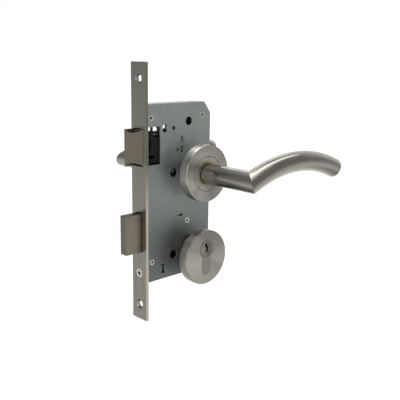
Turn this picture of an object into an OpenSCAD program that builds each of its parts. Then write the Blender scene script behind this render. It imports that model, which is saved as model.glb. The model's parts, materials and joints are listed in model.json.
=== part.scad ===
// Euro-profile mortise lock with lever handles on round roses.
// X runs from the door's edge into the door, Y across the door's thickness, Z up along the
// faceplate. The origin is the middle of the faceplate's back face, which seats on the door.
// The modules measure X from the faceplate's front face, as a backset is, and seated() moves
// the finished pieces back by the plate's thickness.

/* [Faceplate] */
// Length of the faceplate
plate_l = 235; // [230:1:245]
// Width of the faceplate
plate_w = 20; // [20:1:24]
// Thickness of the faceplate
plate_t = 3; // [2.5:0.5:3]
// Distance between the two fixing screws
plate_pitch = 207; // [205:1:210]
// Radius of the fixing screw holes
plate_hole_r = 2.7; // [2.5:0.1:3]

/* [Case] */
// Height of the case
case_h = 163; // [161:1:166]
// Depth of the case, measured from the faceplate's front face
case_d = 81; // [81:1:86]
// Thickness of the case
case_t = 15; // [15:0.5:16]
// Thickness of the case's sheet steel
sheet = 1.2; // [1:0.1:1.3]

/* [Handle and key positions] */
// Backset, from the faceplate's front face to the spindle and the key
backset = 55; // [55:0.5:56]
// Height of the spindle above the middle of the faceplate
spindle_z = 18; // [18:0.5:18.5]
// Distance from the spindle down to the key plug
centres = 72; // [71:0.5:72]
// Thickness of the door that the furniture stands off
door_t = 46; // [40:1:48]

/* [Bolts] */
// How far the latch stands out
latch_out = 11; // [10:0.5:11.5]
// Travel of the latch
latch_travel = 12; // [12:0.1:12.2]
// Height of the latch head
latch_h = 33; // [31:0.5:33]
// Thickness of the latch head
latch_t = 12; // [11:0.5:12]
// How far the deadbolt stands out, and its travel
bolt_out = 18; // [16:0.5:18]
// Height of the deadbolt
bolt_h = 36; // [34:0.5:36]
// Thickness of the deadbolt
bolt_t = 8; // [7:0.5:9]

/* [Furniture] */
// Radius of the lever rose
rose_r = 26.5; // [26:0.5:28]
// Thickness of the roses and escutcheons
rose_t = 9; // [8:0.5:10]
// Radius of the ring round the lever's neck
ring_r = 16; // [14:0.5:18]
// Radius of the key escutcheon
escutcheon_r = 26; // [25.5:0.5:27]
// Radius of the lever's tube
tube_r = 9.5; // [9:0.25:10]
// Distance from the rose to the middle of the grip
lever_reach = 53.5; // [45:0.5:60]
// Distance from the spindle to the grip's tip
grip_chord = 119; // [100:1:130]
// Angle at which the grip leaves the elbow
grip_rise = 22.5; // [10:0.5:25]
// Angle at which the grip's tip points down
grip_fall = 22.5; // [10:0.5:25]

/* [Hidden] */
$fn = 64;

gap = 0.3;                                // clearance between sliding pieces
run = 0.06;                               // radial clearance of a turning fit
seat_gap = 0.05;                          // clearance of a fixed fit
eps = 0.5;                                // how far a cutter runs past a face

wall_y = case_t / 2 - sheet;              // inner face of the case's two walls
case_top = case_h / 2;
chamfer_x = 8;                            // cut corner of the case, along X
chamfer_z = 10.5;                         // cut corner of the case, along Z

key_z = spindle_z - centres;              // height of the key plug's axis
latch_z = 43.5;
bolt_z = -34;
plate_sink_r = 4.7;                       // countersink of the faceplate's screws

window_x = [5.2, 19];                     // window in the case beside the latch
window_z = [27.5, 61.5];

fixing_x = 20;                            // furniture bolts, each side of the spindle
fixing_r = 4.25;
top_fixing = [53.5, 64.4, 4];             // x, z and radius of the upper fixing hole
side_mark = [24.3, 59.4];                 // punched window behind the latch
round_mark = [35, 59.1];
small_mark = [40, 39.1];
wedge_mark = [42.5, -23.4];
i_mark = [22.2, -71.6];
tab_z = [39, 48.7];                       // tabs of the latch's guide plate, in the walls' slots
tab_h = 3.6;
escutcheon_z = key_z - 8;                 // middle of the profile's height
escutcheon_fix_z = key_z - 6.4;           // the escutcheons' fixing bolts

// Pillars that join the case's walls, at x and z
PILLARS = [[8.2, 69.4], [70.7, 69.3], [52.6, -30.2], [9, -62.8], [71.5, -66]];
pillar_r = 3.5;
screw_r = 1.5;
screw_head_r = 2.8;
screw_head_h = 1.1;

// Profile cylinder
profile_r = 8.5;
profile_leg_w = 10;
profile_h = 33;
cylinder_half = door_t / 2 + rose_t;
plug_r = 6.5;
plug_lip_r = 7.1;
lip_gap = 0.25;                           // open ring round the plug's lip
cam_half = 3.9;
cam_gap_half = 5.1;                       // half width of the gap in the cylinder
cam_r = 15.2;
cam_finger_w = 6.4;
bridge_z = key_z - cam_r - 0.4;           // top of the cylinder's bridge under the cam
cylinder_screw_z = key_z - 18.9;
cylinder_screw_r = 2.4;
pin_r = 1.45;
pin_pitch = 3.8;
pin_count = 5;

// Follower and its spring
hub_r = 9;
boss_r = 7.8;
bush_r = 10;
square = 8;
follower_arm = 20;
follower_lean = asin(latch_travel / 2 / follower_arm);   // the arm's lean each side of upright
arm_tip_r = 2;
lug_reach = 12;
follower_spring_z = [20.4, 33];

// Latch train, along X
carrier_x = [9, 21];
rod_r = 2.5;
guide_x = [44, 45.5];
tail_x = backset - follower_arm * sin(follower_lean) + arm_tip_r + gap;

// Bolt train, along X
bolt_root_x = 9;
tail_end_x = 61.4;
tail_t = 3;
tail_top_z = -18;
tail_shelf_z = -42.5;                     // lower edge of the tail beside the notch
notch_x = [34, 57.8];                     // notch that clears the turning cam
notch_top_z = key_z + cam_r + 0.6;
detent_x = 40;

// Furniture, on the front side; the rear side mirrors it
door_face = door_t / 2;
rose_face = door_face + rose_t;
cup_t = 1.2;                              // sheet of the rose and escutcheon covers
elbow_y = rose_face + lever_reach;
tube_wall = 1.5;
grip_r = grip_chord / (sin(grip_rise) + sin(grip_fall));
neck_end_y = door_face - 3;
grub_y = -rose_face - 12;                 // grub screw that holds the lever on the spindle

steel = "silver";
satin = "darkgray";
zinc = "lightslategray";
dark_steel = "dimgray";
black = "black";
brass = "khaki";
nickel = "lightgray";
nylon = "ivory";

// ---------------------------------------------------------------- helpers

// A cylinder along Y, from y0 to y1, at x and z
module y_rod(r, y0, y1, x = 0, z = 0) {
    translate([x, y1, z]) rotate([90, 0, 0]) cylinder(r = r, h = y1 - y0);
}

// A cylinder along X, from x0 to x1, at y and z
module x_rod(r, x0, x1, y = 0, z = 0) {
    translate([x0, y, z]) rotate([0, 90, 0]) cylinder(r = r, h = x1 - x0);
}

// A box given by its two corners
module block(low, high) {
    translate(low) cube(high - low);
}

// An outline drawn in X and Z, given thickness from y0 to y1
module slab(y0, y1) {
    translate([0, y1, 0]) rotate([90, 0, 0]) linear_extrude(y1 - y0) children();
}

module rear_side() {
    mirror([0, 1, 0]) children();
}

module both_sides() {
    children();
    rear_side() children();
}

// Points of a helix of wire, used to sweep a coil spring up +Z
function helix_ring(t, turns, height, coil_r, wire_r, sides) =
    let (
        a = 360 * turns * t,
        c = [coil_r * cos(a), coil_r * sin(a), wire_r + (height - 2 * wire_r) * t],
        out = [cos(a), sin(a), 0],
        up = [0, 0, 1]
    )
    [for (s = [0 : sides - 1]) c + wire_r * (cos(360 * s / sides) * out + sin(360 * s / sides) * up)];

module coil_spring(height, coil_r, wire_r, turns, steps = 12, sides = 6) {
    rings = turns * steps;
    points = [for (i = [0 : rings]) each helix_ring(i / rings, turns, height, coil_r, wire_r, sides)];
    skin = [for (i = [0 : rings - 1], s = [0 : sides - 1])
        let (a = i * sides + s, b = i * sides + (s + 1) % sides)
        each [[a, b, b + sides], [a, b + sides, a + sides]]];
    start_cap = [[for (s = [sides - 1 : -1 : 0]) s]];
    end_cap = [[for (s = [0 : sides - 1]) rings * sides + s]];
    polyhedron(points, concat(skin, start_cap, end_cap), convexity = 8);
}

// Countersunk screw along +X from its head's flat face at the origin
module countersunk_screw(head_r, head_h, shank_r, length) {
    arm_reach = head_r * 0.58;            // cross recess
    arm_half = head_r * 0.17;
    well_r = head_r * 0.3;                // its deeper middle
    well_h = head_h * 1.6;
    difference() {
        union() {
            rotate([0, 90, 0]) cylinder(r1 = head_r, r2 = shank_r, h = head_h);
            x_rod(shank_r, head_h, length);
        }
        for (turn = [0, 90])
            rotate([turn, 0, 0])
                block([-eps, -arm_reach, -arm_half], [head_h * 0.7, arm_reach, arm_half]);
        rotate([0, 90, 0]) translate([0, 0, -eps])
            cylinder(r1 = well_r * 1.2, r2 = well_r * 0.7, h = well_h + eps);
    }
}

// ---------------------------------------------------------------- case

module case_outline(inset = 0) {
    x0 = plate_t + inset;
    x1 = case_d - inset;
    z = case_top - inset;
    cut_x = chamfer_x - inset * 0.4;
    cut_z = chamfer_z - inset * 0.5;
    polygon([
        [x0, -z], [x1 - cut_x, -z], [x1, -z + cut_z],
        [x1, z - cut_z], [x1 - cut_x, z], [x0, z]
    ]);
}

// Outline of the profile cylinder, with a margin all round
module profile_outline(margin = 0) {
    translate([backset, key_z]) circle(r = profile_r + margin);
    leg_r = profile_leg_w / 2 + margin;
    leg_end = key_z + profile_r - profile_h + profile_leg_w / 2;
    translate([backset, leg_end]) circle(r = leg_r);
    translate([backset - leg_r, leg_end]) square([2 * leg_r, key_z - leg_end]);
}

// The holes that both case walls have
module wall_holes() {
    translate([window_x[0], window_z[0]])
        square([window_x[1] - window_x[0], window_z[1] - window_z[0]]);
    translate([backset, spindle_z]) circle(r = bush_r + seat_gap);
    profile_outline(0.4);
    for (side = [-1, 1], z = [spindle_z, escutcheon_fix_z])
        translate([backset + side * fixing_x, z]) circle(r = fixing_r);
    translate([top_fixing[0], top_fixing[1]]) circle(r = top_fixing[2]);
    punched_marks();
    for (z = tab_z)
        translate([(guide_x[0] + guide_x[1]) / 2, z]) tab_slot();
}

// Small openings that locate the parts inside while the lock is put together
module punched_marks() {
    difference() {
        translate(side_mark) square([5, 7], center = true);
        translate(side_mark + [2.9, 0]) rotate(45) square(2.6, center = true);
    }
    translate(round_mark) circle(r = 1.8);
    translate(small_mark) {
        circle(r = 1.1);
        rotate(35) translate([-1.5, 0]) square([3, 0.9], center = true);
    }
    translate(wedge_mark) polygon([[-3.9, 0], [3.9, 1.1], [3.9, -1.3]]);
    translate(i_mark) {
        square([2, 9], center = true);
        for (end = [-1, 1])
            translate([0, end * 3.6]) square([4.2, 1.8], center = true);
    }
}

// Slot with a narrow waist that a tab is staked into
module tab_slot() {
    lobe_h = tab_h / 2 + 0.5;
    square([2.4, tab_h], center = true);
    for (end = [-1, 1])
        translate([0, end * (lobe_h / 2 + 0.4)]) square([3.6, lobe_h], center = true);
}

module faceplate() {
    color(satin) difference() {
        block([0, -plate_w / 2, -plate_l / 2], [plate_t, plate_w / 2, plate_l / 2]);
        for (side = [-1, 1]) {
            x_rod(plate_hole_r, -eps, plate_t + eps, 0, side * plate_pitch / 2);
            translate([0, 0, side * plate_pitch / 2])
                rotate([0, 90, 0]) cylinder(r1 = plate_sink_r, r2 = plate_hole_r, h = plate_t - 1.1);
        }
        x_rod(cylinder_screw_r + 0.2, -eps, plate_t + eps, 0, cylinder_screw_z);
        translate([0, 0, cylinder_screw_z])
            rotate([0, 90, 0]) cylinder(r1 = 4.3, r2 = cylinder_screw_r + 0.2, h = 2.2);
        bolt_slots(-eps, plate_t + eps);
    }
}

// The latch's and the deadbolt's way through the faceplate and the case's front
module bolt_slots(x0, x1) {
    block([x0, -latch_t / 2 - gap, latch_z - latch_h / 2 - gap],
          [x1, latch_t / 2 + gap, latch_z + latch_h / 2 + gap]);
    block([x0, -bolt_t / 2 - gap, bolt_z - bolt_h / 2 - gap],
          [x1, bolt_t / 2 + gap, bolt_z + bolt_h / 2 + gap]);
}

module case_tray() {
    color(zinc) difference() {
        slab(-wall_y, case_t / 2) case_outline();
        slab(-wall_y - eps, wall_y) case_outline(sheet);
        slab(-wall_y, case_t / 2 + eps) wall_holes();
        bolt_slots(0, plate_t + sheet + eps);
        x_rod(cylinder_screw_r + 0.3, 0, plate_t + sheet + eps, 0, cylinder_screw_z);
    }
}

module case_cover() {
    color(zinc) difference() {
        slab(-case_t / 2, -wall_y) case_outline();
        slab(-case_t / 2 - eps, -wall_y + eps) wall_holes();
        for (p = PILLARS) {
            y_rod(screw_r + gap, -case_t / 2 - eps, -wall_y + eps, p[0], p[1]);
            translate([p[0], -case_t / 2, p[1]])
                rotate([-90, 0, 0])
                    cylinder(r1 = screw_head_r + gap, r2 = screw_r + gap, h = screw_head_h);
        }
    }
}

module case_pillars() {
    color(dark_steel) for (p = PILLARS)
        difference() {
            y_rod(pillar_r, -wall_y, wall_y, p[0], p[1]);
            y_rod(screw_r + 0.02, -wall_y - eps, wall_y - 3, p[0], p[1]);
        }
}

module cover_screws() {
    color(brass) for (p = PILLARS)
        translate([p[0], -case_t / 2, p[1]])
            rotate([0, 0, 90]) countersunk_screw(screw_head_r, screw_head_h, screw_r, 7.5);
}

// ---------------------------------------------------------------- latch

module latch_head() {
    scoop_depth = 3;
    scoop_half = 6.6;
    scoop_r = (scoop_half * scoop_half + scoop_depth * scoop_depth) / (2 * scoop_depth);
    cheek = 1.6;
    half = latch_t / 2;
    color(dark_steel) difference() {
        translate([0, 0, latch_z - latch_h / 2]) linear_extrude(latch_h)
            polygon([
                [-latch_out, half], [-latch_out, half - 1.3],
                [0.4, -half], [plate_t + 1, -half], [plate_t + 1, half]
            ]);
        for (end = [-1, 1])
            y_rod(scoop_r, -half - eps, half - cheek,
                  -latch_out / 2 - 0.5, latch_z + end * (latch_h / 2 + scoop_r - scoop_depth));
    }
}

module latch_carrier() {
    half = 5.8;
    color(black) difference() {
        union() {
            block([plate_t + 1, -4, latch_z - 2], [carrier_x[0], 4, latch_z + 2.5]);      // neck
            block([carrier_x[0], -half, 29.5], [carrier_x[1], half, 51.5]);               // body
            block([carrier_x[0], -half, 50], [carrier_x[0] + 3, 0, 57.5]);                // stop
        }
        x_rod(rod_r + 0.02, 12, carrier_x[1] + eps, 0, latch_z);
        block([carrier_x[0] - eps, -half - eps, 33], [carrier_x[0] + 4, -2, 36]);         // notch
    }
}

module latch_rod() {
    color(steel) x_rod(rod_r, 12.2, tail_x + 6.5, 0, latch_z);
}

module latch_tail() {
    color(dark_steel) difference() {
        block([tail_x, -4, 36.2], [tail_x + 5, 4, 47.5]);
        x_rod(rod_r + 0.02, tail_x - eps, tail_x + 5 + eps, 0, latch_z);
    }
}

module latch_spring() {
    length = guide_x[0] - carrier_x[1] - 0.2;
    color(steel) translate([carrier_x[1] + 0.1, 0, latch_z])
        rotate([0, 90, 0]) coil_spring(length, 3.9, 0.5, 8);
}

module latch_guide_plate() {
    color(zinc) difference() {
        union() {
            block([guide_x[0], -wall_y, 36.5], [guide_x[1], wall_y, 51.5]);
            for (z = tab_z)
                block([guide_x[0], -case_t / 2 + 0.6, z - tab_h / 2],
                      [guide_x[1], case_t / 2 - 0.6, z + tab_h / 2]);
        }
        x_rod(rod_r + run, guide_x[0] - eps, guide_x[1] + eps, 0, latch_z);
    }
}

module latch_guide_strip() {
    color(steel) block([16.8, 0.5, 52.4], [31, wall_y, 53.6]);
}

// ---------------------------------------------------------------- follower

module follower() {
    color(dark_steel) difference() {
        union() {
            y_rod(hub_r, -wall_y + gap, wall_y - gap, backset, spindle_z);
            y_rod(boss_r, -case_t / 2 - 1, case_t / 2 + 1, backset, spindle_z);
            slab(-2.5, 2.5) translate([backset, spindle_z]) {
                rotate(follower_lean) {
                    polygon([[-4.5, 0], [4.5, 0], [1.6, follower_arm], [-1.6, follower_arm]]);
                    translate([0, follower_arm]) circle(r = arm_tip_r);
                }
                translate([-lug_reach - 3, -2]) square([lug_reach + 3, 4]);
            }
        }
        block([backset - square / 2 - run, -case_t, spindle_z - square / 2 - run],
              [backset + square / 2 + run, case_t, spindle_z + square / 2 + run]);
    }
}

module follower_bushes() {
    color(nylon) both_sides()
        difference() {
            union() {
                y_rod(bush_r, -case_t / 2 - 0.6, -wall_y, backset, spindle_z);
                y_rod(bush_r + 1.6, -case_t / 2 - 0.6, -case_t / 2, backset, spindle_z);
            }
            y_rod(boss_r + run, -case_t, 0, backset, spindle_z);
        }
}

module follower_spring() {
    color(steel) translate([backset - lug_reach, 0, follower_spring_z[0]])
        coil_spring(follower_spring_z[1] - follower_spring_z[0] - 0.1, 2.9, 0.4, 5);
}

module spring_seat() {
    x = backset - lug_reach;
    z = follower_spring_z[1];
    color(zinc) {
        block([x - 4, -4.5, z], [x + 3.6, wall_y, z + sheet]);
        block([x - 4, wall_y - sheet, z + sheet], [x - 2, wall_y, z + 5]);
    }
}

// ---------------------------------------------------------------- deadbolt

module deadbolt() {
    color(dark_steel) difference() {
        block([-bolt_out, -bolt_t / 2, bolt_z - bolt_h / 2], [bolt_root_x, bolt_t / 2, bolt_z + bolt_h / 2]);
        block([1, -tail_t / 2 - seat_gap, bolt_z - 13],
              [bolt_root_x + eps, tail_t / 2 + seat_gap, bolt_z + 13]);
        bolt_rivet_holes(seat_gap);
    }
}

module bolt_rivet_holes(margin) {
    for (z = [bolt_z - 8, bolt_z + 8])
        y_rod(2 + margin, -bolt_t / 2 - (margin > 0 ? eps : 0), bolt_t / 2 + (margin > 0 ? eps : 0), 5, z);
}

module bolt_tail() {
    slot_half = pillar_r + gap;
    slot_z = PILLARS[2][1];
    slot_x = [PILLARS[2][0] - bolt_out - 0.4, PILLARS[2][0] + 0.4];
    color(zinc) difference() {
        slab(-tail_t / 2, tail_t / 2) difference() {
            polygon([
                [bolt_root_x, tail_top_z], [tail_end_x, tail_top_z],
                [tail_end_x, tail_shelf_z], [notch_x[1], tail_shelf_z],
                [notch_x[1], notch_top_z], [notch_x[0], notch_top_z],
                [notch_x[0], tail_shelf_z], [bolt_root_x, tail_shelf_z],
                [bolt_root_x, bolt_z - 12], [1.5, bolt_z - 12],
                [1.5, bolt_z + 12], [bolt_root_x, bolt_z + 12]
            ]);
            for (x = slot_x)
                translate([x, slot_z]) circle(r = slot_half);
            translate([slot_x[0], slot_z - slot_half]) square([slot_x[1] - slot_x[0], 2 * slot_half]);
            for (x = [detent_x, detent_x - bolt_out])
                translate([x, tail_top_z]) rotate(45) square(1.8, center = true);
        }
        bolt_rivet_holes(seat_gap);
    }
}

module bolt_rivets() {
    color(steel) bolt_rivet_holes(0);
}

module detent_post() {
    color(dark_steel) y_rod(1.6, -wall_y, wall_y, 22, -9);
}

module detent_spring() {
    leaf = 0.6;
    nose_z = tail_top_z + 0.25;
    color(steel) slab(-2.5, 2.5) {
        difference() {
            translate([22, -9]) circle(r = 1.7 + leaf);
            translate([22, -9]) circle(r = 1.65);
            translate([20, -9.6]) rotate(30) square([3.2, 1], center = true);
        }
        polygon([
            [23.2, -10.6], [23.7, -10.9], [detent_x, nose_z + 0.6], [detent_x + 3, nose_z + 3],
            [detent_x + 2.5, nose_z + 3.3], [detent_x - 0.1, nose_z + 1.2], [23, -10.2]
        ]);
        translate([detent_x, nose_z + 0.6]) circle(r = 0.6);
    }
}

// ---------------------------------------------------------------- profile cylinder

function pin_y(i) = -(cylinder_half - 4.2 - i * pin_pitch);

// Five pins or holes on the front side, from z0 to z1 above the plug's axis
module pin_row(r, z0, z1) {
    for (i = [0 : pin_count - 1])
        translate([backset, pin_y(i), key_z + z0]) cylinder(r = r, h = z1 - z0);
}

module cylinder_body() {
    leg_bottom = profile_r - profile_h;
    color(nickel) difference() {
        slab(-cylinder_half, cylinder_half) profile_outline();
        block([backset - 2 * profile_r, -cam_gap_half, bridge_z],
              [backset + 2 * profile_r, cam_gap_half, key_z + 2 * profile_r]);
        x_rod(cylinder_screw_r, backset - profile_r, backset + profile_r, 0, cylinder_screw_z);
        both_sides() {
            y_rod(plug_r + run, -cylinder_half - eps, 0, backset, key_z);
            y_rod(plug_lip_r + lip_gap, -cylinder_half - eps, -cylinder_half + 1.5 + gap, backset, key_z);
            pin_row(pin_r + 0.05, leg_bottom - eps, 0);
        }
    }
}

// The keyway's stepped section, on the plug's axis
module keyway_outline() {
    translate([-1.9, 1.9]) square([2.7, 3.9]);
    translate([-0.3, -0.9]) square([2.4, 3.6]);
    translate([-1.3, -3]) square([2.1, 2.9]);
}

module plug() {
    color(brass) difference() {
        union() {
            y_rod(plug_r, -cylinder_half, -cam_half - 0.2, backset, key_z);
            y_rod(plug_lip_r, -cylinder_half, -cylinder_half + 1.5, backset, key_z);
        }
        slab(-cylinder_half - eps, -cam_gap_half - 3) translate([backset, key_z]) keyway_outline();
        pin_row(pin_r + 0.05, -plug_r - eps, -1);
        difference() {
            y_rod(plug_r + eps, -cam_gap_half + 0.05, -cam_half - 0.25, backset, key_z);
            y_rod(plug_r - 0.8, -cam_gap_half - eps, -cam_half, backset, key_z);
        }
    }
}

module front_plug() {
    plug();
}

module rear_plug() {
    rear_side() plug();
}

// Open ring in the plug's groove, between the cylinder and the cam
module plug_clip() {
    color(steel) difference() {
        y_rod(plug_r + 0.8, -cam_gap_half + 0.1, -cam_half - 0.3, backset, key_z);
        y_rod(plug_r - 0.75, -cylinder_half, 0, backset, key_z);
        block([backset - 2, -cylinder_half, key_z + 2], [backset + 2, 0, key_z + 2 * plug_r]);
    }
}

module front_plug_clip() {
    plug_clip();
}

module rear_plug_clip() {
    rear_side() plug_clip();
}

// The cam's ring between the two plugs, and its finger, which points down when the key is out
module cam() {
    ring_outer = 7.6;
    color(dark_steel) difference() {
        union() {
            y_rod(ring_outer, -cam_half, cam_half, backset, key_z);
            intersection() {
                block([backset - cam_finger_w / 2, -cam_half, key_z - cam_r],
                      [backset + cam_finger_w / 2, cam_half, key_z]);
                y_rod(cam_r, -cam_half, cam_half, backset, key_z);
            }
        }
        y_rod(4.6, -cam_half - eps, cam_half + eps, backset, key_z);
    }
}

module cam_clutch() {
    color(brass) difference() {
        y_rod(4.5, -cam_half + 0.2, cam_half - 0.2, backset, key_z);
        block([backset - 1.1, -cam_half, key_z - 3.4], [backset + 1.1, -1.2, key_z + 3.4]);
        block([backset - 1.1, 1.2, key_z - 3.4], [backset + 1.1, cam_half, key_z + 3.4]);
    }
}

module front_key_pins() {
    color(brass) pin_row(pin_r, -plug_r + 0.25, -3.1);
}

module rear_key_pins() {
    color(brass) rear_side() pin_row(pin_r, -plug_r + 0.25, -3.1);
}

module driver_pins() {
    color(brass) both_sides() pin_row(pin_r, -11.5, -plug_r - 0.25);
}

module pin_springs() {
    color(steel) both_sides() for (i = [0 : pin_count - 1])
        translate([backset, pin_y(i), key_z - 20.9]) coil_spring(9.2, 1.05, 0.22, 5, 8, 5);
}

module pin_hole_plugs() {
    color(brass) both_sides() pin_row(pin_r, -23.6, -21);
}

module cylinder_screw() {
    color(brass) translate([0, 0, cylinder_screw_z])
        countersunk_screw(4.2, 2.2, cylinder_screw_r - 0.05, backset + 3.5);
}

// ---------------------------------------------------------------- levers

module spindle() {
    reach = elbow_y - 24;
    color(steel) block([backset - square / 2, -reach, spindle_z - square / 2],
                       [backset + square / 2, reach, spindle_z + square / 2]);
}

// Places a child at the front elbow, with +X along the grip's first stretch
module at_elbow() {
    translate([backset, -elbow_y, spindle_z]) rotate([0, -grip_rise, 0]) children();
}

// The grip is an arch about this centre, given in X and Z from the elbow
grip_centre = grip_r * [sin(grip_rise), -cos(grip_rise)];
grip_tip = grip_centre + grip_r * [sin(grip_fall), cos(grip_fall)];

// A round bar along the grip's arch, from a little behind the elbow to the tip
module grip_bar(r) {
    behind_elbow = 8;
    sweep = behind_elbow + grip_rise + grip_fall;
    translate([backset + grip_centre[0], -elbow_y, spindle_z + grip_centre[1]])
        rotate([90, 0, 0]) rotate([0, 0, 90 - grip_fall])
            rotate_extrude(angle = sweep) translate([grip_r, 0]) circle(r = r);
}

module lever_neck() {
    color(satin) difference() {
        y_rod(tube_r, -elbow_y - 2 * tube_r, -neck_end_y, backset, spindle_z);
        y_rod(tube_r - tube_wall, -elbow_y - 3 * tube_r, -neck_end_y + eps, backset, spindle_z);
        mitre_cutter(1);
        translate([backset, grub_y, spindle_z - 2 * tube_r]) cylinder(r = 2.5, h = 2 * tube_r);
        difference() {
            y_rod(tube_r + eps, -door_face + 0.9, -door_face + 2, backset, spindle_z);
            y_rod(tube_r - 0.6, -door_face, -door_face + 3, backset, spindle_z);
        }
    }
}

// Half space on one side of the mitre: side 1 takes away the grip's side, -1 the neck's
module mitre_cutter(side) {
    reach = 8 * tube_r;
    at_elbow() rotate([0, 0, -45]) translate([side > 0 ? 0 : -reach, -reach, -reach])
        cube([reach, 2 * reach, 2 * reach]);
}

module lever_grip() {
    color(satin) difference() {
        grip_bar(tube_r);
        grip_bar(tube_r - tube_wall);
        mitre_cutter(-1);
    }
}

// Flat cap welded into the tip of the grip
module lever_cap() {
    cap_t = 1.2;
    color(satin) translate([backset + grip_tip[0], -elbow_y, spindle_z + grip_tip[1]])
        rotate([0, grip_fall, 0]) rotate([0, 90, 0]) rotate_extrude()
            polygon(concat([[0, 0], [tube_r, 0]],
                [for (a = [0 : 15 : 90]) [tube_r - cap_t + cap_t * cos(a), cap_t * sin(a)]],
                [[0, cap_t]]));
}

module lever_inserts() {
    color(steel) both_sides() difference() {
        y_rod(tube_r - tube_wall - 0.02, -elbow_y + 18, -neck_end_y, backset, spindle_z);
        block([backset - square / 2 - 0.05, -elbow_y + 23, spindle_z - square / 2 - 0.05],
              [backset + square / 2 + 0.05, 0, spindle_z + square / 2 + 0.05]);
        translate([backset, grub_y, spindle_z - tube_r]) cylinder(r = 2.5, h = tube_r);
    }
}

module grub_screws() {
    color(dark_steel) both_sides() difference() {
        translate([backset, grub_y, spindle_z - tube_r + 0.5])
            cylinder(r = 2.45, h = tube_r - square / 2 - 0.55);
        translate([backset, grub_y, spindle_z - tube_r]) cylinder(r = 1.3, h = 3, $fn = 6);
    }
}

module neck_clips() {
    color(steel) both_sides() difference() {
        y_rod(tube_r + 1.6, -door_face + 1, -door_face + 1.9, backset, spindle_z);
        y_rod(tube_r - 0.55, -door_face, -door_face + 3, backset, spindle_z);
        block([backset - 3, -door_face, spindle_z - 2 * tube_r], [backset + 3, -door_face + 3, spindle_z]);
    }
}

module front_lever_neck() {
    lever_neck();
}

module front_lever_grip() {
    lever_grip();
}

module front_lever_cap() {
    lever_cap();
}

module rear_lever_neck() {
    rear_side() lever_neck();
}

module rear_lever_grip() {
    rear_side() lever_grip();
}

module rear_lever_cap() {
    rear_side() lever_cap();
}

// ---------------------------------------------------------------- roses and escutcheons

// Cup of sheet metal about the Y axis, with a softened front edge and an open back
module cup(r, hole_r) {
    edge = 0.9;
    rotate([90, 0, 0]) rotate_extrude()
        polygon(concat(
            [[hole_r, rose_face], [hole_r, rose_face - cup_t], [r - cup_t, rose_face - cup_t],
             [r - cup_t, door_face], [r, door_face]],
            [for (a = [0 : 18 : 90]) [r - edge + edge * cos(a), rose_face - edge + edge * sin(a)]]));
}

module rose_cover() {
    color(satin) translate([backset, 0, spindle_z]) cup(rose_r, ring_r + gap);
}

module rose_ring() {
    color(satin) difference() {
        y_rod(ring_r, -rose_face, -rose_face + 3, backset, spindle_z);
        y_rod(tube_r + gap, -rose_face - eps, -door_face, backset, spindle_z);
        block([backset - 0.4, -rose_face - eps, spindle_z + tube_r + 4.8],
              [backset + 0.4, -rose_face + 0.4, spindle_z + ring_r + eps]);
    }
}

module rose_base() {
    color(dark_steel) difference() {
        union() {
            y_rod(rose_r - cup_t - 0.1, -door_face - 3, -door_face, backset, spindle_z);
            y_rod(ring_r, -rose_face + 3.05, -door_face, backset, spindle_z);
        }
        y_rod(tube_r + 2.2, -rose_face, -door_face + eps, backset, spindle_z);
        for (side = [-1, 1])
            y_rod(2.2, -rose_face, -door_face + eps, backset + side * fixing_x, spindle_z);
    }
}

module rose_bush() {
    color(nylon) difference() {
        y_rod(tube_r + 2.15, -rose_face + 3.1, -door_face, backset, spindle_z);
        y_rod(tube_r + run, -rose_face, -door_face + eps, backset, spindle_z);
    }
}

module escutcheon_cover() {
    color(satin) difference() {
        translate([backset, 0, escutcheon_z]) cup(escutcheon_r, 0);
        slab(-rose_face - eps, -rose_face + cup_t + eps) profile_outline(0.25);
    }
}

module escutcheon_base() {
    color(dark_steel) difference() {
        y_rod(escutcheon_r - cup_t - 0.1, -door_face - 2.5, -door_face, backset, escutcheon_z);
        slab(-rose_face - eps, -door_face + eps) profile_outline(0.3);
        for (side = [-1, 1])
            y_rod(2.2, -rose_face, -door_face + eps, backset + side * fixing_x, escutcheon_fix_z);
    }
}

module front_rose_cover() {
    rose_cover();
}

module front_rose_ring() {
    rose_ring();
}

module front_rose_base() {
    rose_base();
}

module front_rose_bush() {
    rose_bush();
}

module rear_rose_cover() {
    rear_side() rose_cover();
}

module rear_rose_ring() {
    rear_side() rose_ring();
}

module rear_rose_base() {
    rear_side() rose_base();
}

module rear_rose_bush() {
    rear_side() rose_bush();
}

module front_escutcheon_cover() {
    escutcheon_cover();
}

module front_escutcheon_base() {
    escutcheon_base();
}

module rear_escutcheon_cover() {
    rear_side() escutcheon_cover();
}

module rear_escutcheon_base() {
    rear_side() escutcheon_base();
}

// Puts the origin at the faceplate's back face
module seated() {
    translate([-plate_t, 0, 0]) children();
}

seated() faceplate();
seated() case_tray();
seated() case_cover();
seated() case_pillars();
seated() cover_screws();
seated() latch_head();
seated() latch_carrier();
seated() latch_rod();
seated() latch_tail();
seated() latch_spring();
seated() latch_guide_plate();
seated() latch_guide_strip();
seated() follower();
seated() follower_bushes();
seated() follower_spring();
seated() spring_seat();
seated() deadbolt();
seated() bolt_tail();
seated() bolt_rivets();
seated() detent_spring();
seated() detent_post();
seated() cylinder_body();
seated() front_plug();
seated() rear_plug();
seated() cam();
seated() cam_clutch();
seated() front_plug_clip();
seated() rear_plug_clip();
seated() front_key_pins();
seated() rear_key_pins();
seated() driver_pins();
seated() pin_springs();
seated() pin_hole_plugs();
seated() cylinder_screw();
seated() spindle();
seated() grub_screws();
seated() lever_inserts();
seated() neck_clips();
seated() front_lever_neck();
seated() front_lever_grip();
seated() front_lever_cap();
seated() rear_lever_neck();
seated() rear_lever_grip();
seated() rear_lever_cap();
seated() front_rose_cover();
seated() front_rose_ring();
seated() front_rose_base();
seated() front_rose_bush();
seated() rear_rose_cover();
seated() rear_rose_ring();
seated() rear_rose_base();
seated() rear_rose_bush();
seated() front_escutcheon_cover();
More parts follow.
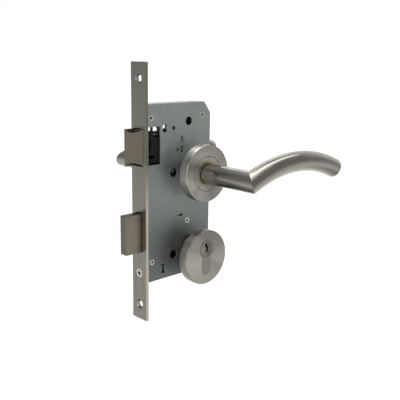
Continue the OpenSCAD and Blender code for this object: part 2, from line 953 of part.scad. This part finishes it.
seated() front_escutcheon_base();
seated() rear_escutcheon_cover();
seated() rear_escutcheon_base();
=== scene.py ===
"""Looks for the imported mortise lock: finishes, softened edges, studio and camera.

Every place and size is in metres, in the CAD frame: +X into the door from the faceplate's
back face, +Y across the door, +Z up along the faceplate.
"""
import json
import math

import bpy
from mathutils import Matrix, Vector


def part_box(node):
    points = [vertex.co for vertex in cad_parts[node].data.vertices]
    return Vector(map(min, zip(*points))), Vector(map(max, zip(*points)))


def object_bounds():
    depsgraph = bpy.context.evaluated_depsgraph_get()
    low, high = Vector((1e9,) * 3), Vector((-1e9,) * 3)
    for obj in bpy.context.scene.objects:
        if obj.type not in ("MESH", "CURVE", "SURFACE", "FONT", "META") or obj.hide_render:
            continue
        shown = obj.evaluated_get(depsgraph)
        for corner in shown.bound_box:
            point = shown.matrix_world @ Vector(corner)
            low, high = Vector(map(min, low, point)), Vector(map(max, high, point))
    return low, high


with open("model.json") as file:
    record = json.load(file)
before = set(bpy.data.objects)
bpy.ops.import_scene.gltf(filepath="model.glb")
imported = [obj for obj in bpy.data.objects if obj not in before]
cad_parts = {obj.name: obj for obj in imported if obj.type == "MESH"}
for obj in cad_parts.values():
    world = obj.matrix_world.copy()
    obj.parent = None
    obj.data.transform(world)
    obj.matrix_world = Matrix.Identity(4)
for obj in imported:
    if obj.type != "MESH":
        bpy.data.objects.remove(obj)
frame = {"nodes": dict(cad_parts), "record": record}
cad_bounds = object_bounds()

MM = 0.001
NODES = frame["nodes"]
SIDES = ("front", "rear")


# ---------------------------------------------------------------- places taken from the frame

def middle(node):
    """The middle of a CAD node's box."""
    low, high = (Vector(corner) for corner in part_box(node))
    return (low + high) / 2


def joint_axis(name):
    """A point on a joint's axis."""
    joints = {joint["name"]: joint for joint in frame["record"]["behaviour"]["joints"]}
    return Vector(joints[name]["pos_m"])


SPINDLE = joint_axis("handle_turn")
KEY = joint_axis("front_plug_turn")

ARCH_RADIUS = 155.5 * MM      # the grip bends about this radius
ARCH_REACH = 59.5 * MM        # from the spindle to the arch's crown, along X
TUBE_RADIUS = 9.5 * MM


def grip_centre(side):
    """Centre of the arch that the grip bends about."""
    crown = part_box(f"{side}_lever_grip")[1][2] - TUBE_RADIUS
    return Vector((SPINDLE.x + ARCH_REACH, 0, crown - ARCH_RADIUS))


# ---------------------------------------------------------------- shader helpers

NOISE_LOW, NOISE_HIGH = 0.3, 0.7      # a noise seldom leaves this range


class Tree:
    """A node tree under construction. Its calls add one node each and return an output."""

    def __init__(self, tree):
        self.tree = tree

    def add(self, kind, inputs=None, **settings):
        node = self.tree.nodes.new(kind)
        for name, value in settings.items():
            setattr(node, name, value)
        for name, value in (inputs or {}).items():
            self.put(node.inputs[name], value)
        return node

    def put(self, socket, value):
        """Links a socket to an output, or gives it a number or a colour."""
        if isinstance(value, bpy.types.NodeSocket):
            self.tree.links.new(value, socket)
        else:
            socket.default_value = value

    def math(self, operation, a, b=0.0):
        return self.add("ShaderNodeMath", {0: a, 1: b}, operation=operation).outputs[0]

    def vector(self, operation, a, b=(0, 0, 0)):
        node = self.add("ShaderNodeVectorMath", {0: a, 1: b}, operation=operation)
        return node.outputs["Value" if operation in ("LENGTH", "DOT_PRODUCT") else "Vector"]

    def split(self, vector):
        return self.add("ShaderNodeSeparateXYZ", {0: vector}).outputs

    def join(self, x=0.0, y=0.0, z=0.0):
        return self.add("ShaderNodeCombineXYZ", {0: x, 1: y, 2: z}).outputs[0]

    def stretched(self, vector, scale):
        return self.vector("MULTIPLY", vector, scale)

    def noise(self, vector, scale=1.0, detail=3.0, roughness=0.5, w=None):
        inputs = {"Vector": vector, "Scale": scale, "Detail": detail, "Roughness": roughness}
        if w is not None:
            inputs["W"] = w
        node = self.add("ShaderNodeTexNoise", noise_dimensions="3D" if w is None else "4D")
        for name, value in inputs.items():
            self.put(node.inputs[name], value)
        return node.outputs["Fac"]

    def spread(self, value, low, high, to_low=0.0, to_high=1.0):
        """Maps low..high to to_low..to_high, smoothly and clamped."""
        node = self.add("ShaderNodeMapRange", {0: value, 1: low, 2: high, 3: to_low, 4: to_high},
                        interpolation_type="SMOOTHSTEP")
        return node.outputs[0]

    def vary(self, noise, to_low=0.0, to_high=1.0):
        """Maps the range that a noise mostly fills to to_low..to_high."""
        return self.spread(noise, NOISE_LOW, NOISE_HIGH, to_low, to_high)

    def mix(self, factor, a, b):
        node = self.add("ShaderNodeMix", {0: factor, 6: a, 7: b}, data_type="RGBA")
        return node.outputs[2]


class Shader(Tree):
    """A material with one Principled surface."""

    def __init__(self, name, roughness, metallic=1.0):
        self.material = bpy.data.materials.new(name)
        self.material.use_nodes = True
        super().__init__(self.material.node_tree)
        self.surface = self.tree.nodes["Principled BSDF"]
        self.surface.inputs["Metallic"].default_value = metallic
        self.surface.inputs["Roughness"].default_value = roughness
        self.place = self.add("ShaderNodeTexCoord").outputs["Object"]

    def set(self, name, value):
        self.put(self.surface.inputs[name], value)

    def normal(self):
        return self.add("ShaderNodeNewGeometry").outputs["Normal"]

    def edges(self, radius):
        """1 along edges and 0 on flat faces, within a radius of the edge."""
        rounded = self.add("ShaderNodeBevel", {"Radius": radius}, samples=4).outputs[0]
        alike = self.vector("DOT_PRODUCT", rounded, self.normal())
        return self.spread(alike, 0.80, 0.99, 1.0, 0.0)

    def hollows(self, reach):
        """1 deep in a hollow and 0 in the open, judged within a reach."""
        open_sky = self.add("ShaderNodeAmbientOcclusion", {"Distance": reach}, samples=8).outputs["AO"]
        return self.spread(open_sky, 0.35, 0.95, 1.0, 0.0)

    def bump(self, height, distance, strength=1.0):
        node = self.add("ShaderNodeBump", {"Height": height, "Distance": distance, "Strength": strength})
        self.set("Normal", node.outputs[0])

    def brushed_along(self, groove, amount):
        """Stretches highlights across the grooves, whose direction is given in the frame."""
        world = self.add("ShaderNodeVectorTransform", {0: groove}, vector_type="VECTOR",
                         convert_from="OBJECT", convert_to="WORLD").outputs[0]
        self.set("Anisotropic", amount)
        self.set("Tangent", self.vector("CROSS_PRODUCT", self.normal(), world))


def shade(colour, factor):
    """A lighter or darker colour, with the alpha that a socket needs."""
    return tuple(min(1.0, channel * factor) for channel in colour) + (1.0,)


def tinted(colour, shares):
    """A colour with each channel kept to its own share."""
    return tuple(channel * share for channel, share in zip(colour, shares)) + (1.0,)


# ---------------------------------------------------------------- metals

GRAIN_FINE = 2200        # grooves across, per metre
GRAIN_LONG = 30          # changes along a groove, per metre

STAINLESS = (0.62, 0.595, 0.525)
# The rose's stainless, painted lighter than STAINLESS to stand for its brighter lit face.
LIGHTER_ROSE_STAINLESS = (0.66, 0.64, 0.575)
TUBE = (0.45, 0.43, 0.38)
FACEPLATE = (0.37, 0.355, 0.315)
BOLT = (0.36, 0.325, 0.255)
CYLINDER = (0.36, 0.345, 0.285)
ZINC = (0.455, 0.493, 0.487)

HOLLOW_SHADE = (0.30, 0.27, 0.22)       # what painted shade in hollows leaves of each channel
BROWN = (0.62, 0.54, 0.40)      # what the brown mark leaves, partly staining and partly painted reflection
OXIDE = (0.78, 0.74, 0.70)      # what dull patches leave of the zinc
PAINTED_SHEEN_DIM = 0.58                # how light turned steel is outside its painted highlight wedges


def finish_metal(shader, colour, grain, roughness, wear=0.3, contrast=0.14, stain=None, sheen=None):
    """Colour, roughness, grooves, painted shade in hollows and worn edges of a brushed metal with the given
    grain.

    stain is how brown the metal is, partly a real mark and partly painted reflection, and sheen how much
    painted highlight it has, each from 0 to 1 over the piece.
    """
    cloud = shader.noise(shader.place, scale=45, detail=4, roughness=0.55)
    streak = shader.vary(grain)
    tone = shader.mix(streak, shade(colour, 1 - contrast), shade(colour, 1 + contrast))
    # Painted highlight: outside the painted sheen wedges, turned steel is painted dimmer.
    if sheen is not None:
        dim = shader.mix(streak, shade(colour, PAINTED_SHEEN_DIM - contrast / 2),
                         shade(colour, PAINTED_SHEEN_DIM + contrast / 2))
        tone = shader.mix(sheen, dim, tone)
    toned = shader.mix(shader.vary(cloud, 0.35, 0.0), tone, shade(colour, 0.88))
    # Painted shade: darker deep in hollows, where ambient occlusion finds them.
    hollow_shade = shader.math("MULTIPLY", shader.hollows(1.8 * MM), 0.85)
    with_hollow_shade = shader.mix(hollow_shade, toned, tinted(colour, HOLLOW_SHADE))
    # Brown by the neck: partly staining, partly painted reflection of the neck.
    if stain is not None:
        with_hollow_shade = shader.mix(stain, with_hollow_shade, tinted(colour, BROWN))
    worn = shader.math("MULTIPLY", shader.edges(0.35 * MM), wear)
    shader.set("Base Color", shader.mix(worn, with_hollow_shade, shade(colour, 1.3)))
    grooved = shader.vary(grain, roughness - 0.03, roughness + 0.04)
    shader.set("Roughness", shader.math("ADD", grooved, shader.vary(cloud, -0.015, 0.02)))
    shader.bump(grain, 0.02 * MM, 0.4)
    return shader.material


def straight_grain(shader, along, anisotropy):
    """Brushes a shader along a frame axis, 0 for X, 1 for Y or 2 for Z, and returns its grooves."""
    scale = [GRAIN_FINE] * 3
    scale[along] = GRAIN_LONG
    direction = [0.0, 0.0, 0.0]
    direction[along] = 1.0
    shader.brushed_along(shader.join(*direction), anisotropy)
    return shader.noise(shader.stretched(shader.place, tuple(scale)), detail=4, roughness=0.6)


def straight_metal(name, colour, along, roughness, anisotropy=0.5, **looks):
    """Brushed metal whose grooves run along a frame axis: 0 for X, 1 for Y, 2 for Z."""
    shader = Shader(name, roughness)
    grain = straight_grain(shader, along, anisotropy)
    return finish_metal(shader, colour, grain, roughness, **looks)


def turned_metal(name, colour, axis, roughness, anisotropy=0.85, lit=(-1, 0), stain_reach=0.0, **looks):
    """Metal turned about an axis along Y, with grooves round it.

    Its face has painted highlight wedges, most toward lit (X and Z), and a brown mark, partly staining and
    partly painted reflection of the neck, can start at the neck.
    """
    shader = Shader(name, roughness)
    away = shader.vector("SUBTRACT", shader.place, tuple(axis))
    x, y, z = shader.split(away)
    outward = shader.join(x, 0.0, z)
    radius = shader.vector("LENGTH", outward)
    cos, _, sin = shader.split(shader.vector("NORMALIZE", outward))
    around = 2.2            # changes of the grain per turn, in noise units
    across = shader.join(shader.math("MULTIPLY", radius, GRAIN_FINE),
                         shader.math("MULTIPLY", y, GRAIN_FINE),
                         shader.math("MULTIPLY", cos, around))
    grain = shader.noise(across, detail=4, roughness=0.6, w=shader.math("MULTIPLY", sin, around))
    shader.brushed_along(shader.vector("CROSS_PRODUCT", outward, (0, 1, 0)), anisotropy)
    # Painted highlight wedges round the face, lightest toward lit.
    wedge = shader.noise(shader.join(cos, 0.0, sin), scale=1.7, detail=2, roughness=0.5)
    toward = shader.vector("DOT_PRODUCT", shader.join(cos, 0.0, sin), (lit[0], 0, lit[1]))
    uneven = shader.math("ADD", toward, shader.spread(wedge, 0.35, 0.65, -0.35, 0.35))
    looks["sheen"] = shader.spread(uneven, -0.9, 0.7)
    # Brown by the neck, partly painted reflection of the neck.
    if stain_reach:
        looks["stain"] = shader.spread(radius, TUBE_RADIUS, TUBE_RADIUS + stain_reach, 0.8, 0.0)
    return finish_metal(shader, colour, grain, roughness, **looks)


def arched_metal(name, colour, centre, roughness, anisotropy=0.15, **looks):
    """Brushed tube bent about an axis along Y, with grooves along the bend."""
    shader = Shader(name, roughness)
    away = shader.vector("SUBTRACT", shader.place, tuple(centre))
    x, y, z = shader.split(away)
    outward = shader.join(x, 0.0, z)
    radius = shader.vector("LENGTH", outward)
    angle = shader.math("ARCTAN2", x, z)
    changes_per_radian = 8.0
    along = shader.join(shader.math("MULTIPLY", radius, GRAIN_FINE),
                        shader.math("MULTIPLY", y, GRAIN_FINE),
                        shader.math("MULTIPLY", angle, changes_per_radian))
    grain = shader.noise(along, detail=4, roughness=0.6)
    shader.brushed_along(shader.vector("CROSS_PRODUCT", outward, (0, 1, 0)), anisotropy)
    return finish_metal(shader, colour, grain, roughness, **looks)


def cast_bolt():
    """Satin nickel on a cast bolt: brushed sides, with painted shade on faces that point up or down and on
    the front end.
    """
    shader = Shader("satin_nickel_bolt", 0.36)
    finish_metal(shader, BOLT, straight_grain(shader, along=2, anisotropy=0.4), roughness=0.36)
    brushed = shader.surface.inputs["Base Color"].links[0].from_socket
    facing = shader.split(shader.normal())
    upright = shader.math("ABSOLUTE", facing[2])
    # Painted shade: faces that point up or down are painted dark.
    upright_shade = shader.spread(upright, 0.35, 0.8, 0.0, 0.85)
    shaded_ends = shader.mix(upright_shade, brushed, shade(BOLT, 0.16))
    # Painted shade: faces toward the front (-X) are painted darker.
    front_shade = shader.spread(facing[0], -0.95, -0.3, 0.55, 0.0)
    shader.set("Base Color", shader.mix(front_shade, shaded_ends, shade(BOLT, 0.4)))
    return shader.material


def faceplate_steel():
    """The faceplate's steel, brushed along its length, with a painted highlight on its cut side faces low
    down and painted shade on them higher up.
    """
    shader = Shader("brushed_faceplate", 0.34)
    finish_metal(shader, FACEPLATE, straight_grain(shader, along=2, anisotropy=0.5), roughness=0.34)
    brushed = shader.surface.inputs["Base Color"].links[0].from_socket
    # Painted highlight low on the side faces, painted shade higher up.
    sideways = shader.spread(shader.math("ABSOLUTE", shader.split(shader.normal())[1]), 0.4, 0.9)
    highlit_low = shader.spread(shader.split(shader.place)[2], -0.02, 0.05, 1.0, 0.0)
    edge = shader.mix(highlit_low, shade(FACEPLATE, 0.85), shade(FACEPLATE, 2.0))
    shader.set("Base Color", shader.mix(sideways, brushed, edge))
    return shader.material


def zinc_plate():
    """Zinc plated sheet: bluish, softly mottled, with faint rolling lines and stains, and painted shade
    towards the bottom and in hollows.
    """
    shader = Shader("zinc_plate", 0.5, metallic=0.85)
    mottle = shader.noise(shader.place, scale=55, detail=5, roughness=0.6)
    speck = shader.noise(shader.place, scale=900, detail=3, roughness=0.7)
    rolled = shader.noise(shader.stretched(shader.place, (1500, 1500, 30)), detail=3, roughness=0.6)
    patch = shader.noise(shader.place, scale=17, detail=3, roughness=0.5)
    clouded = shader.mix(shader.vary(mottle), shade(ZINC, 0.9), shade(ZINC, 1.12))
    height = shader.split(shader.place)[2]
    # Painted shade: darker towards the bottom.
    shaded_low = shader.mix(shader.spread(height, -0.09, 0.06, 0.8, 0.0), clouded, shade(ZINC, 0.38))
    specked = shader.mix(shader.spread(speck, 0.45, 0.75, 0, 0.2), shaded_low, shade(ZINC, 1.1))
    stained = shader.mix(shader.spread(patch, 0.52, 0.75, 0, 0.5), specked, tinted(ZINC, OXIDE))
    # Painted shade deep in hollows.
    with_hollow_shade = shader.mix(shader.math("MULTIPLY", shader.hollows(1.2 * MM), 0.5), stained, shade(ZINC, 0.12))
    worn = shader.math("MULTIPLY", shader.edges(0.3 * MM), 0.4)
    shader.set("Base Color", shader.mix(worn, with_hollow_shade, shade(ZINC, 1.6)))
    rough = shader.math("ADD", shader.vary(mottle, 0.44, 0.58),
                        shader.vary(rolled, -0.03, 0.04))
    shader.set("Roughness", rough)
    relief = shader.math("ADD", shader.math("MULTIPLY", speck, 0.6), rolled)
    shader.bump(relief, 0.015 * MM, 0.5)
    return shader.material


def plain_steel(name, colour, roughness):
    """Unfinished steel: mottled, with fine scratches in two directions and worn edges."""
    shader = Shader(name, roughness)
    mottle = shader.noise(shader.place, scale=160, detail=4, roughness=0.6)
    first = shader.noise(shader.stretched(shader.place, (4000, 4000, 120)), detail=3, roughness=0.6)
    second = shader.noise(shader.stretched(shader.place, (150, 3500, 3500)), detail=3, roughness=0.6)
    scratch = shader.math("MAXIMUM", first, second)
    toned = shader.mix(shader.vary(mottle), shade(colour, 0.8), shade(colour, 1.15))
    scored = shader.mix(shader.spread(scratch, 0.62, 0.8, 0, 0.5), toned, shade(colour, 1.6))
    worn = shader.math("MULTIPLY", shader.edges(0.25 * MM), 0.5)
    shader.set("Base Color", shader.mix(worn, scored, shade(colour, 1.9)))
    shader.set("Roughness", shader.vary(mottle, roughness - 0.07, roughness + 0.08))
    shader.bump(scratch, 0.02 * MM, 0.5)
    return shader.material


def passivated_screw():
    """Passivated zinc: warm silver that drifts to straw, with painted shade down in the recess."""
    shader = Shader("passivated_screw", 0.3)
    drift = shader.noise(shader.place, scale=350, detail=3, roughness=0.5)
    fine = shader.noise(shader.place, scale=2500, detail=2, roughness=0.5)
    straw = shader.mix(shader.vary(drift), (0.88, 0.82, 0.64, 1), (0.86, 0.85, 0.76, 1))
    # Painted shade: near black deep in the recess.
    with_hollow_shade = shader.mix(shader.hollows(1.2 * MM), straw, (0.03, 0.028, 0.022, 1))
    worn = shader.math("MULTIPLY", shader.edges(0.2 * MM), 0.3)
    shader.set("Base Color", shader.mix(worn, with_hollow_shade, (0.95, 0.93, 0.86, 1)))
    shader.set("Roughness", shader.vary(fine, 0.22, 0.38))
    shader.bump(fine, 0.01 * MM, 0.5)
    return shader.material


def moulded(name, colour, roughness):
    """Moulded nylon: fine spark texture, soft flow marks and slightly lighter edges."""
    shader = Shader(name, roughness, metallic=0.0)
    shader.set("Specular IOR Level", 0.35)
    grit = shader.noise(shader.place, scale=3800, detail=3, roughness=0.6)
    flow = shader.noise(shader.place, scale=90, detail=4, roughness=0.6)
    toned = shader.mix(shader.vary(flow), shade(colour, 0.85), shade(colour, 1.15))
    worn = shader.math("MULTIPLY", shader.edges(0.3 * MM), 0.3)
    shader.set("Base Color", shader.mix(worn, toned, shade(colour, 1.7)))
    shader.set("Roughness", shader.vary(grit, roughness - 0.06, roughness + 0.08))
    shader.bump(grit, 0.03 * MM, 0.5)
    return shader.material


# ---------------------------------------------------------------- softened CAD nodes

SHARP = math.radians(32)     # edges sharper than this stay sharp, and are rounded by a bevel


def smooth_shading():
    """A node group that drops stored normals and shades smooth except at sharp edges."""
    group = bpy.data.node_groups.new("smooth_shading", "GeometryNodeTree")
    group.interface.new_socket("Geometry", in_out="INPUT", socket_type="NodeSocketGeometry")
    group.interface.new_socket("Geometry", in_out="OUTPUT", socket_type="NodeSocketGeometry")
    nodes, links = group.nodes, group.links
    start = nodes.new("NodeGroupInput")
    end = nodes.new("NodeGroupOutput")
    forget = nodes.new("GeometryNodeRemoveAttribute")
    forget.inputs["Name"].default_value = "custom_normal"
    weld = nodes.new("GeometryNodeMergeByDistance")
    weld.inputs["Distance"].default_value = 0.002 * MM
    faces = nodes.new("GeometryNodeSetShadeSmooth")
    faces.domain = "FACE"
    faces.inputs["Shade Smooth"].default_value = True
    angle = nodes.new("GeometryNodeInputMeshEdgeAngle")
    gentle = nodes.new("FunctionNodeCompare")
    gentle.data_type = "FLOAT"
    gentle.operation = "LESS_THAN"
    gentle.inputs["B"].default_value = SHARP
    edges = nodes.new("GeometryNodeSetShadeSmooth")
    edges.domain = "EDGE"
    links.new(start.outputs[0], forget.inputs["Geometry"])
    links.new(forget.outputs["Geometry"], weld.inputs["Geometry"])
    links.new(weld.outputs["Geometry"], faces.inputs["Geometry"])
    links.new(angle.outputs["Unsigned Angle"], gentle.inputs["A"])
    links.new(gentle.outputs["Result"], edges.inputs["Shade Smooth"])
    links.new(faces.outputs["Geometry"], edges.inputs["Geometry"])
    links.new(edges.outputs["Geometry"], end.inputs[0])
    return group


SMOOTH = smooth_shading()


def soften(node, width):
    """Welds a CAD node, shades it smooth and rounds its sharp edges by a small width."""
    piece = NODES[node]
    shading = piece.modifiers.new("smooth_shading", "NODES")
    shading.node_group = SMOOTH
    if width:
        bevel = piece.modifiers.new("edges", "BEVEL")
        bevel.limit_method = "ANGLE"
        bevel.angle_limit = SHARP
        bevel.width = width
        bevel.segments = 3
        bevel.harden_normals = True
        bevel.use_clamp_overlap = True
        bevel.miter_outer = "MITER_ARC"


def paint(node, material):
    for slot in NODES[node].material_slots:
        slot.material = material


def dress(names, material, width=0.15 * MM):
    """Gives nodes a material and rounds their edges."""
    for name in names:
        paint(name, material)
        soften(name, width)


# ---------------------------------------------------------------- the lock's finishes

def dress_case():
    zinc = zinc_plate()
    dress(("case_tray", "case_cover", "latch_guide_plate", "spring_seat", "bolt_tail"), zinc, width=0.18 * MM)
    dress(("front_rose_base", "rear_rose_base", "front_escutcheon_base", "rear_escutcheon_base"), zinc)
    dress(("faceplate",), faceplate_steel(), width=0.3 * MM)
    dress(("cover_screws", "cylinder_screw"), passivated_screw(), width=0.08 * MM)


def dress_bolts():
    dress(("latch_head", "deadbolt"), cast_bolt(), 0.4 * MM)
    black = moulded("black_nylon", (0.008, 0.008, 0.009), roughness=0.45)
    dress(("latch_carrier",), black, width=0.2 * MM)


def dress_cylinder():
    body = straight_metal("cylinder_nickel", CYLINDER, along=2, roughness=0.32, anisotropy=0.3)
    dress(("cylinder_body",), body, width=0.15 * MM)
    plug = turned_metal("satin_nickel_plug", CYLINDER, KEY, roughness=0.30, contrast=0.06)
    dress(("front_plug", "rear_plug"), plug, width=0.12 * MM)
    brass = plain_steel("brass", (0.62, 0.47, 0.20), roughness=0.35)
    dress(("front_key_pins", "rear_key_pins", "driver_pins", "pin_hole_plugs", "cam_clutch"), brass,
          width=0.08 * MM)


def dress_insides():
    dark = plain_steel("dark_steel", (0.16, 0.155, 0.15), roughness=0.45)
    dress(("case_pillars", "latch_tail", "follower", "detent_post", "cam", "spindle", "grub_screws",
           "lever_inserts"), dark, width=0.12 * MM)
    bright = plain_steel("spring_steel", (0.48, 0.48, 0.48), roughness=0.28)
    dress(("latch_rod", "latch_guide_strip", "bolt_rivets", "detent_spring", "front_plug_clip",
           "rear_plug_clip", "neck_clips"), bright, width=0.06 * MM)
    dress(("latch_spring", "follower_spring", "pin_springs"), bright, width=0)
    nylon = moulded("white_nylon", (0.72, 0.70, 0.64), roughness=0.4)
    dress(("follower_bushes", "front_rose_bush", "rear_rose_bush"), nylon, width=0.12 * MM)


def dress_furniture():
    rose = turned_metal("turned_rose", LIGHTER_ROSE_STAINLESS, SPINDLE, roughness=0.34, lit=(-0.75, 0.65),
                        stain_reach=5 * MM, wear=0.1)
    for side in SIDES:
        escutcheon_axis = middle(f"{side}_escutcheon_cover")
        plate = turned_metal(f"turned_escutcheon_{side}", STAINLESS, escutcheon_axis,
                             roughness=0.34, lit=(-0.6, -0.8), wear=0.1)
        dress((f"{side}_escutcheon_cover",), plate, 0.12 * MM)
        dress((f"{side}_rose_cover", f"{side}_rose_ring"), rose, width=0.12 * MM)
        neck = straight_metal(f"neck_tube_{side}", TUBE, along=1, roughness=0.2,
                              anisotropy=0.15, wear=0.0)
        dress((f"{side}_lever_neck",), neck, width=0.05 * MM)
        grip = arched_metal(f"grip_tube_{side}", TUBE, grip_centre(side), roughness=0.2,
                            wear=0.0)
        dress((f"{side}_lever_grip", f"{side}_lever_cap"), grip, width=0.05 * MM)


# ---------------------------------------------------------------- studio

BACKDROP = (0.70, 0.715, 0.0)     # the side of the room that the backdrop stands on


def sky():
    """White to the camera; to the metal, a bright backdrop, ceiling and table, and dim sides.

    Heights are the sine of the elevation: -1 straight down, 1 straight up.
    """
    world = bpy.data.worlds.new("studio")
    bpy.context.scene.world = world
    world.use_nodes = True
    room = Tree(world.node_tree)
    room.tree.nodes.clear()
    toward = room.add("ShaderNodeTexCoord").outputs["Generated"]
    height = room.split(toward)[2]
    behind = room.vector("DOT_PRODUCT", toward, BACKDROP)
    sides = room.spread(height, -0.45, 0.20, 0.72, 0.24)
    table_edge = room.spread(height, -0.80, -0.35, 0.45, 1.0)
    backdrop_top = room.spread(height, 0.45, 0.62, 0.6, 0.2)
    backdrop = room.math("MULTIPLY", room.spread(behind, 0.2, 0.8, 0.0, 1.0), backdrop_top)
    ceiling = room.spread(height, 0.75, 0.95, 0.0, 1.0)
    level = room.math("ADD", room.math("MULTIPLY", sides, table_edge),
                      room.math("MAXIMUM", backdrop, ceiling))
    around = room.add("ShaderNodeBackground", {"Color": level}).outputs[0]
    white = room.add("ShaderNodeBackground", {"Color": (1, 1, 1, 1)}).outputs[0]
    seen = room.add("ShaderNodeLightPath").outputs["Is Camera Ray"]
    both = room.add("ShaderNodeMixShader", {0: seen, 1: around, 2: white}).outputs[0]
    room.add("ShaderNodeOutputWorld", {"Surface": both})


def softbox(name, place, target, size, watts):
    """A rectangular lamp that shines from a place at a target."""
    light = bpy.data.lights.new(name, "AREA")
    light.shape = "RECTANGLE"
    light.size, light.size_y = size
    light.energy = watts
    lamp = bpy.data.objects.new(name, light)
    bpy.context.collection.objects.link(lamp)
    lamp.location = place
    lamp.rotation_euler = (Vector(target) - Vector(place)).to_track_quat("-Z", "Y").to_euler()


def floor():
    """A pale, evenly lit table under the lock's lowest point."""
    half = 6.0
    clear = 0.3 * MM
    level = cad_bounds[0][2] - clear
    mesh = bpy.data.meshes.new("floor")
    corners = [(x, y, level) for x, y in ((-half, -half), (half, -half), (half, half), (-half, half))]
    mesh.from_pydata(corners, [], [(0, 1, 2, 3)])
    plane = bpy.data.objects.new("floor", mesh)
    bpy.context.collection.objects.link(plane)
    pale = Shader("pale_floor", 0.9, metallic=0.0)
    drift = pale.noise(pale.place, scale=0.8, detail=2, roughness=0.5)
    tone = pale.mix(drift, (0.34, 0.34, 0.34, 1), (0.38, 0.38, 0.38, 1))
    pale.set("Base Color", tone)
    glow = 0.85
    pale.set("Emission Color", (1, 1, 1, 1))
    pale.set("Emission Strength", glow)
    mesh.materials.append(pale.material)
    plane.visible_glossy = False


def studio():
    sky()
    floor()
    softbox("overhead", place=(0.60, -0.08, 1.05), target=(0.10, -0.08, 0.02), size=(0.24, 0.95), watts=1.5)
    softbox("behind", place=(0.75, 0.75, 0.75), target=(0.10, -0.05, 0.0), size=(0.8, 0.16), watts=0.65)
    softbox("top", place=(0.15, 0.30, 1.0), target=(0.05, -0.02, -0.02), size=(0.4, 0.4), watts=2.0)
    softbox("front_left", place=(-1.3, -0.5, 0.5), target=(0.05, 0, 0), size=(0.6, 0.9), watts=3.0)


# ---------------------------------------------------------------- camera

CAMERA_PLACE = (-0.34765, -0.43416, 0.12176)
CAMERA_TURN = (44.125, 12.759, 0.827)     # degrees: round from +Y, down, and roll
CAMERA_LENS = 56.72                       # millimetres, on a 36 mm sensor


def camera():
    """Looks down at the faceplate and the front furniture, with a slight roll."""
    yaw, pitch, roll = (math.radians(angle) for angle in CAMERA_TURN)
    forward = Vector((math.sin(yaw) * math.cos(pitch), math.cos(yaw) * math.cos(pitch), -math.sin(pitch)))
    level = Vector((math.cos(yaw), -math.sin(yaw), 0))
    upright = level.cross(forward)
    right = math.cos(roll) * level + math.sin(roll) * upright
    up = right.cross(forward)
    lens = bpy.data.cameras.new("camera")
    lens.sensor_width = 36
    lens.lens = CAMERA_LENS
    lens.clip_start = 0.01
    eye = bpy.data.objects.new("camera", lens)
    bpy.context.collection.objects.link(eye)
    turn = Matrix((right, up, -forward)).transposed().to_4x4()
    eye.matrix_world = Matrix.Translation(CAMERA_PLACE) @ turn
    bpy.context.scene.camera = eye


dress_case()
dress_bolts()
dress_cylinder()
dress_insides()
dress_furniture()
studio()
camera()
bpy.context.scene.view_settings.view_transform = "Standard"
bpy.context.view_layer.update()
